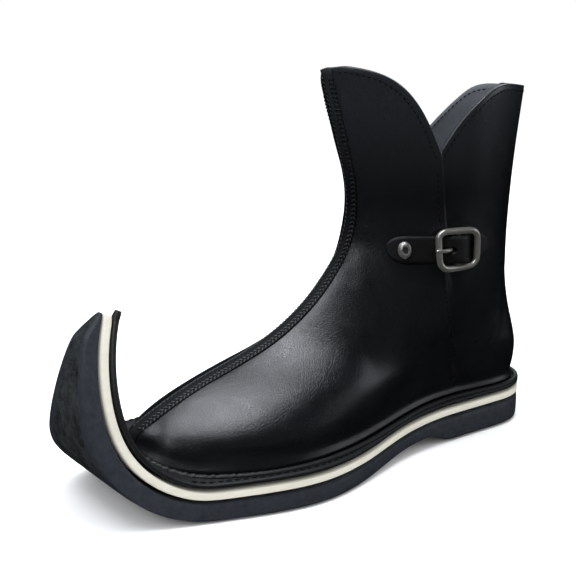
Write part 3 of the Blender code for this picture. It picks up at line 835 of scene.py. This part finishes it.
for i, here in enumerate(fine):
    forward = (fine[min(i + 1, len(fine) - 1)] - fine[max(i - 1, 0)]).normalized()
    across = Vector((0, 0, 1)).cross(forward).normalized()
    rise = forward.cross(across)
    gone = i * RAND_STEP
    slim = min(min(gone, (len(fine) - 1 - i) * RAND_STEP) / RAND_TAPER, 1.0)
    slim = max(math.sin(slim * math.pi / 2), RAND_POINT)
    toe = min(max((boot_place(here)[0] - PLEAT_BACK) / PLEAT_RUN, 0.0), 1.0)
    wave = math.sin(2 * math.pi * gone / PLEAT) + math.sin(2 * math.pi * gone / PLEAT_BEAT)
    swell = 1.0 + PLEAT_SHARE * toe * wave
    section = []
    for degrees in range(0, 360, RAND_FACET):
        angle = math.radians(degrees)
        level = across * RAND_HALF * slim * math.cos(angle)
        lift = rise * (RAND_HIGH * slim * swell * math.sin(angle) - RAND_SINK)
        section.append(shape.verts.new(here + (level + lift) * MM))
    loop = [shape.edges.new(pair) for pair in zip(section, section[1:] + section[:1])]
    if before:
        bmesh.ops.bridge_loops(shape, edges=before + loop)
    before = loop
bmesh.ops.holes_fill(shape, edges=[edge for edge in shape.edges if edge.is_boundary])
bmesh.ops.recalc_face_normals(shape, faces=shape.faces)
make_piece("rand_leather", shape, (edge_leather,))


# Straps and tabs
# A short strap of the same leather on each side, riveted to the front panel, drawn over the buckle's bar
# and pricked by its prong. The tab on the back panel holds the buckle.
STRAP_CRISP = 0.75

# Strap leather: firmer than the upper's and cut with raw edges, black with a duller sheen
strap_leather = black_leather("strap leather", "#030304", "#08090a", roughness=0.5, grain_depth=0.4)
for word in ("inner", "outer"):
    for node in ("strap_" + word, "buckle_tab_" + word):
        shape = copy_of(node)
        keep_crisp(shape, STRAP_CRISP)
        piece = make_piece(node + "_leather", shape, (strap_leather,), skin=2)
        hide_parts(node)


# Buckles and rivets
# A cast frame and a bent prong on each side, nickel-plated, polished and a little worn. A domed rivet of
# the same metal, with a hollow in its head, is set through the strap's front end.
SCRATCH = 0.6
DISH_SHADE_CLOUD = 1.2
FRAME_SLOPE = 1.6
FRAME_BULGE = 1.0
FRAME_SWELL = 0.25
RIVET_HALF = (4.3, 5.6)
RIVET_SHARE = 0.88
DIMPLE_SHARE = 0.55
DIMPLE_DEEP = 1.1
DISH_SHADE_SHARE = 0.8

# Satin nickel plate: a warm grey metal with blurred bright edges, dulled by handling. Real scratches are
# hairlines and are drawn coarser, so that they show.
nickel, shader = finish("satin nickel plate", "#b6b4ad", roughness=0.36, Metallic=0.92)
place = add(nickel, "ShaderNodeTexCoord", {}).outputs["Object"]
scratch = add(nickel, "ShaderNodeTexNoise", {"Scale": 1 / (SCRATCH * MM), "Detail": 4.0}, {"Vector": place})
gloss = add(nickel, "ShaderNodeMapRange", {"To Min": 0.3, "To Max": 0.5}, {"Value": scratch.outputs["Fac"]})
bump = add(
    nickel, "ShaderNodeBump",
    {"Strength": 0.12, "Distance": 0.1 * MM}, {"Height": scratch.outputs["Fac"]},
)
link(nickel, gloss.outputs["Result"], shader.inputs["Roughness"])
link(nickel, bump.outputs["Normal"], shader.inputs["Normal"])

# Nickel with painted shade: a dull brown-grey painted in the rivet head's dish as the shade in its hollow
dish_shade, shader = finish("nickel with painted shade", "#2c2a26", roughness=0.55, Metallic=0.6)
place = add(dish_shade, "ShaderNodeTexCoord", {}).outputs["Object"]
cloud = add(
    dish_shade, "ShaderNodeTexNoise",
    {"Scale": 1 / (DISH_SHADE_CLOUD * MM), "Detail": 4.0}, {"Vector": place},
)
shade = add(
    dish_shade, "ShaderNodeMixRGB",
    {"Color1": linear("#211f1c"), "Color2": linear("#373530")}, {"Fac": cloud.outputs["Fac"]},
)
link(dish_shade, shade.outputs["Color"], shader.inputs["Base Color"])

for word in ("inner", "outer"):
    # The frame's back bar bows out and its lower back corner is lifted
    shape = copy_of("buckle_frame_" + word)
    low = Vector([min(v.co[k] for v in shape.verts) for k in range(3)])
    high = Vector([max(v.co[k] for v in shape.verts) for k in range(3)])
    middle, half = (low + high) / 2, (high - low) / 2
    shape.normal_update()
    swollen = [vertex.co + vertex.normal * FRAME_SWELL * MM for vertex in shape.verts]
    for vertex, seat in zip(shape.verts, swollen):
        back = max((seat.x - middle.x) / half.x, 0.0)
        rise = (seat.z - middle.z) / half.z
        lift = FRAME_SLOPE * back * max(-rise, 0.0)
        vertex.co = seat + Vector((FRAME_BULGE * back * max(1 - rise * rise, 0.0), 0, lift)) * MM
    piece = make_piece("buckle_frame_" + word + "_nickel", shape, (nickel,), skin=2)
    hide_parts("buckle_frame_" + word)

    shape = copy_of("buckle_prong_" + word)
    piece = make_piece("buckle_prong_" + word + "_nickel", shape, (nickel,), skin=2)
    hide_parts("buckle_prong_" + word)

    # The rivet's head is dished, and the dish is painted dark as shade
    shape = copy_of("rivet_" + word)
    piece = make_piece("rivet_" + word + "_nickel", shape, (nickel, dish_shade), skin=2)
    settle(piece)
    points = [vertex.co.copy() for vertex in piece.data.vertices]
    middle = sum(points, Vector()) / len(points)
    inward = 1 if middle.y < 0 else -1
    aways = [point - middle for point in points]
    reach = [math.hypot(away.x / RIVET_HALF[0], away.z / RIVET_HALF[1]) / MM for away in aways]
    for vertex, away, share in zip(piece.data.vertices, aways, reach):
        sunk = DIMPLE_DEEP * max(1 - (share / DIMPLE_SHARE) ** 2, 0.0)
        if away.y * inward > 0:
            sunk = 0.0
        deep = away.y + sunk * inward * MM
        vertex.co = middle + Vector((away.x * RIVET_SHARE, deep, away.z * RIVET_SHARE))
    for face in piece.data.polygons:
        widest = max(reach[i] for i in face.vertices)
        face.material_index = 1 if widest < DIMPLE_SHARE * DISH_SHADE_SHARE else 0
    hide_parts("rivet_" + word)


# Floor, light and camera
# A plain pale floor under soft lamps: one above, others around, and large weak ones behind for the rim. The
# floor and the room don't mirror in the leather, so that only the lamps do.
FLOOR_HALF = 6.0
ROOM_LIGHT = 1.0
LIGHTS = (
    # name, place, aim, width, height, power
    ("softbox above", (-0.05, -0.02, 1.29), (-0.05, 0.0, 0.06), 0.4, 0.5, 10.0),
    ("softbox in front", (-0.55, -0.05, 1.15), (-0.02, 0.0, 0.1), 0.4, 0.4, 4.0),
    ("softbox left", (-0.95, -0.3, 0.75), (-0.02, 0.0, 0.12), 0.25, 0.35, 1.6),
    ("softbox right", (0.9, -0.6, 0.4), (0.05, 0.0, 0.08), 0.4, 0.6, 1.6),
    ("card in front", (-0.7, -1.5, 0.5), (0.0, 0.0, 0.1), 2.4, 1.0, 0.6),
    ("softbox behind the toe", (-0.36, 0.75, 0.95), (-0.02, 0.0, 0.1), 0.8, 0.8, 4.0),
    ("softbox behind the heel", (0.8, 0.6, 0.75), (0.03, 0.0, 0.1), 0.8, 0.8, 3.5),
)
CAMERA_SEAT = (-0.3695, -0.4594, 0.2484)
CAMERA_AIM = (-0.0115, 0.011, 0.097)
CAMERA_ROLL = 0.89
CAMERA_LENS = 68.0
CAMERA_SENSOR = 36.0
CAMERA_NEAR = 0.01

shape = bmesh.new()
bmesh.ops.create_grid(shape, x_segments=1, y_segments=1, size=FLOOR_HALF)
mesh = bpy.data.meshes.new("floor")
shape.to_mesh(mesh)
shape.free()
floor = bpy.data.objects.new("floor", mesh)
bpy.context.scene.collection.objects.link(floor)

# White paper floor: plain and matte, so that it shows nothing but the boot's shadow
paper, _ = finish("white paper floor", "#ffffff", roughness=0.9, Specular_IOR_Level=0.0)
mesh.materials.append(paper)
floor.visible_glossy = False
floor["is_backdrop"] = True

world = bpy.data.worlds.new("studio")
world.use_nodes = True
room = world.node_tree.nodes["Background"]
room.inputs["Color"].default_value = linear("#ffffff")
room.inputs["Strength"].default_value = ROOM_LIGHT
world.cycles_visibility.glossy = False
bpy.context.scene.world = world

for name, seat, aim, width, height, power in LIGHTS:
    data = bpy.data.lights.new(name, "AREA")
    data.shape = "RECTANGLE"
    data.size = width
    data.size_y = height
    data.energy = power
    data.color = linear("#f4f8ff")[:3]
    lamp = bpy.data.objects.new(name, data)
    lamp.location = seat
    lamp.rotation_euler = (Vector(aim) - Vector(seat)).to_track_quat("-Z", "Y").to_euler()
    bpy.context.scene.collection.objects.link(lamp)

data = bpy.data.cameras.new("camera")
data.lens = CAMERA_LENS
data.sensor_width = CAMERA_SENSOR
data.clip_start = CAMERA_NEAR
camera = bpy.data.objects.new("camera", data)
camera.location = CAMERA_SEAT
look = (Vector(CAMERA_AIM) - Vector(CAMERA_SEAT)).to_track_quat("-Z", "Y").to_matrix()
camera.rotation_euler = (look @ Matrix.Rotation(math.radians(CAMERA_ROLL), 3, "Z")).to_euler()
bpy.context.scene.collection.objects.link(camera)
bpy.context.scene.camera = camera
bpy.context.scene.view_settings.view_transform = "Standard"

low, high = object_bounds()
